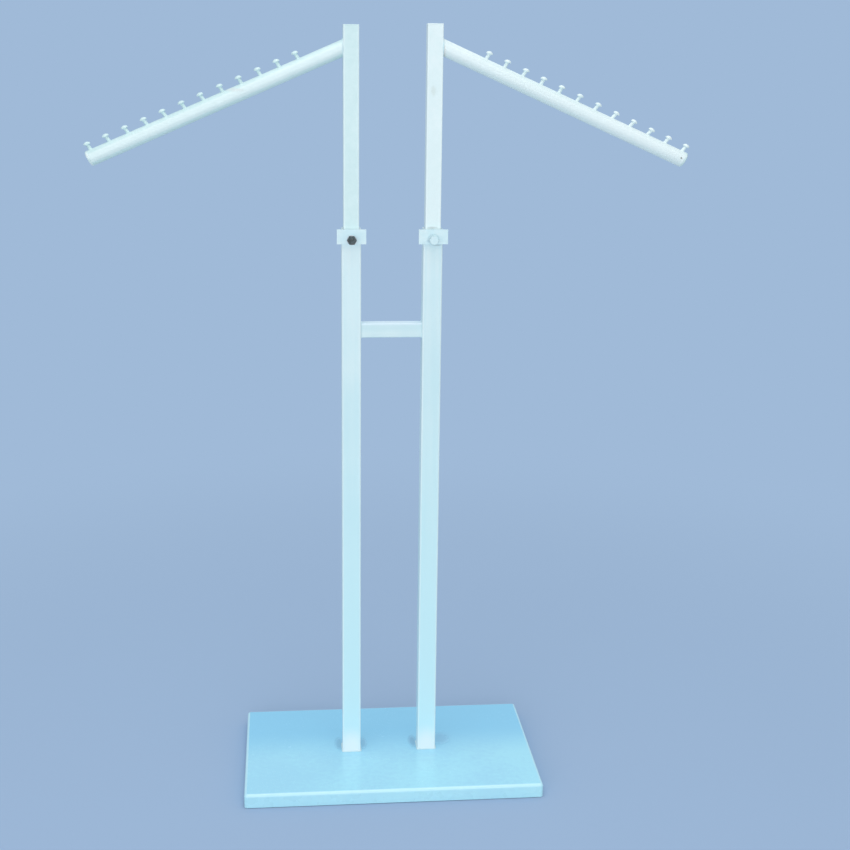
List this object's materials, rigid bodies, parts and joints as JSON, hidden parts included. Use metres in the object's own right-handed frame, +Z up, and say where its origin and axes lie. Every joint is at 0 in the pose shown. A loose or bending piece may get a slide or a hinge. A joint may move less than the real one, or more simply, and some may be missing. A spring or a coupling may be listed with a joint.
{
  "type": "two-arm display stand",
  "caption": "White steel floor stand with telescopic posts on a flat base, each carrying a sloping arm with mushroom pegs and locked by a clamp bolt.",
  "frame": {"origin": "on the floor, at the middle of the base", "axes": "+Z up, X along the arms, -Y to the front where the clamp bolts are"},
  "size_m": [1.2322, 0.4, 1.6085],
  "materials": {
    "paint": "white semi-gloss paint",
    "nylon": "natural nylon",
    "cap_plastic": "white moulded plastic",
    "zinc_steel": "bright zinc plate",
    "dark_steel": "dark, slightly rusted steel"
  },
  "bodies": {
    "stand": {"base_tray": "paint", "base_channel_left": "paint", "base_channel_right": "paint", "glide_front_left": "nylon", "glide_front_right": "nylon", "glide_rear_left": "nylon", "glide_rear_right": "nylon", "base_bolts": "zinc_steel", "base_washers": "zinc_steel", "crossbar": "paint", "post_foot_left": "paint", "outer_post_left": "paint", "guide_bush_left": "nylon", "clamp_plate_left": "paint", "clamp_nut_left": "paint", "post_foot_right": "paint", "outer_post_right": "paint", "guide_bush_right": "nylon", "clamp_plate_right": "paint", "clamp_nut_right": "paint"},
    "upper_left": {"inner_post_left": "paint", "post_cap_left": "paint", "post_slider_left": "nylon", "arm_left": "paint", "arm_end_cap_left": "cap_plastic", "peg_left_01": "paint", "peg_left_02": "paint", "peg_left_03": "paint", "peg_left_04": "paint", "peg_left_05": "paint", "peg_left_06": "paint", "peg_left_07": "paint", "peg_left_08": "paint", "peg_left_09": "paint", "peg_left_10": "paint", "peg_left_11": "paint", "peg_left_12": "paint"},
    "upper_right": {"inner_post_right": "paint", "post_cap_right": "paint", "post_slider_right": "nylon", "arm_right": "paint", "arm_end_cap_right": "cap_plastic", "peg_right_01": "paint", "peg_right_02": "paint", "peg_right_03": "paint", "peg_right_04": "paint", "peg_right_05": "paint", "peg_right_06": "paint", "peg_right_07": "paint", "peg_right_08": "paint", "peg_right_09": "paint", "peg_right_10": "paint", "peg_right_11": "paint", "peg_right_12": "paint"},
    "clamp_washer_left": {"clamp_washer_left": "zinc_steel"},
    "clamp_bolt_left": {"clamp_bolt_left": "dark_steel"},
    "clamp_washer_right": {"clamp_washer_right": "zinc_steel"},
    "clamp_bolt_right": {"clamp_bolt_right": "paint"}
  },
  "joints": [
    {"name": "height_left", "type": "slide", "parent": "stand", "child": "upper_left", "axis": [0, 0, 1], "range_m": [-0.3, 0.25]},
    {"name": "clamp_advance_left", "type": "slide", "parent": "stand", "child": "clamp_washer_left", "axis": [0, 1, 0], "range_m": [-0.003, 0]},
    {"name": "clamp_turn_left", "type": "hinge", "parent": "clamp_washer_left", "child": "clamp_bolt_left", "pos_m": [-0.084, -0.036, 1.181], "axis": [0, 1, 0], "range_deg": [-720, 0]},
    {"name": "height_right", "type": "slide", "parent": "stand", "child": "upper_right", "axis": [0, 0, 1], "range_m": [-0.3, 0.25]},
    {"name": "clamp_advance_right", "type": "slide", "parent": "stand", "child": "clamp_washer_right", "axis": [0, 1, 0], "range_m": [-0.003, 0]},
    {"name": "clamp_turn_right", "type": "hinge", "parent": "clamp_washer_right", "child": "clamp_bolt_right", "pos_m": [0.084, -0.036, 1.181], "axis": [0, 1, 0], "range_deg": [-720, 0]}
  ],
  "couplings": [
    {"joint": "clamp_turn_left", "follows": "clamp_advance_left", "rad_per_m": 4188.8},
    {"joint": "clamp_turn_right", "follows": "clamp_advance_right", "rad_per_m": 4188.8}
  ]
}
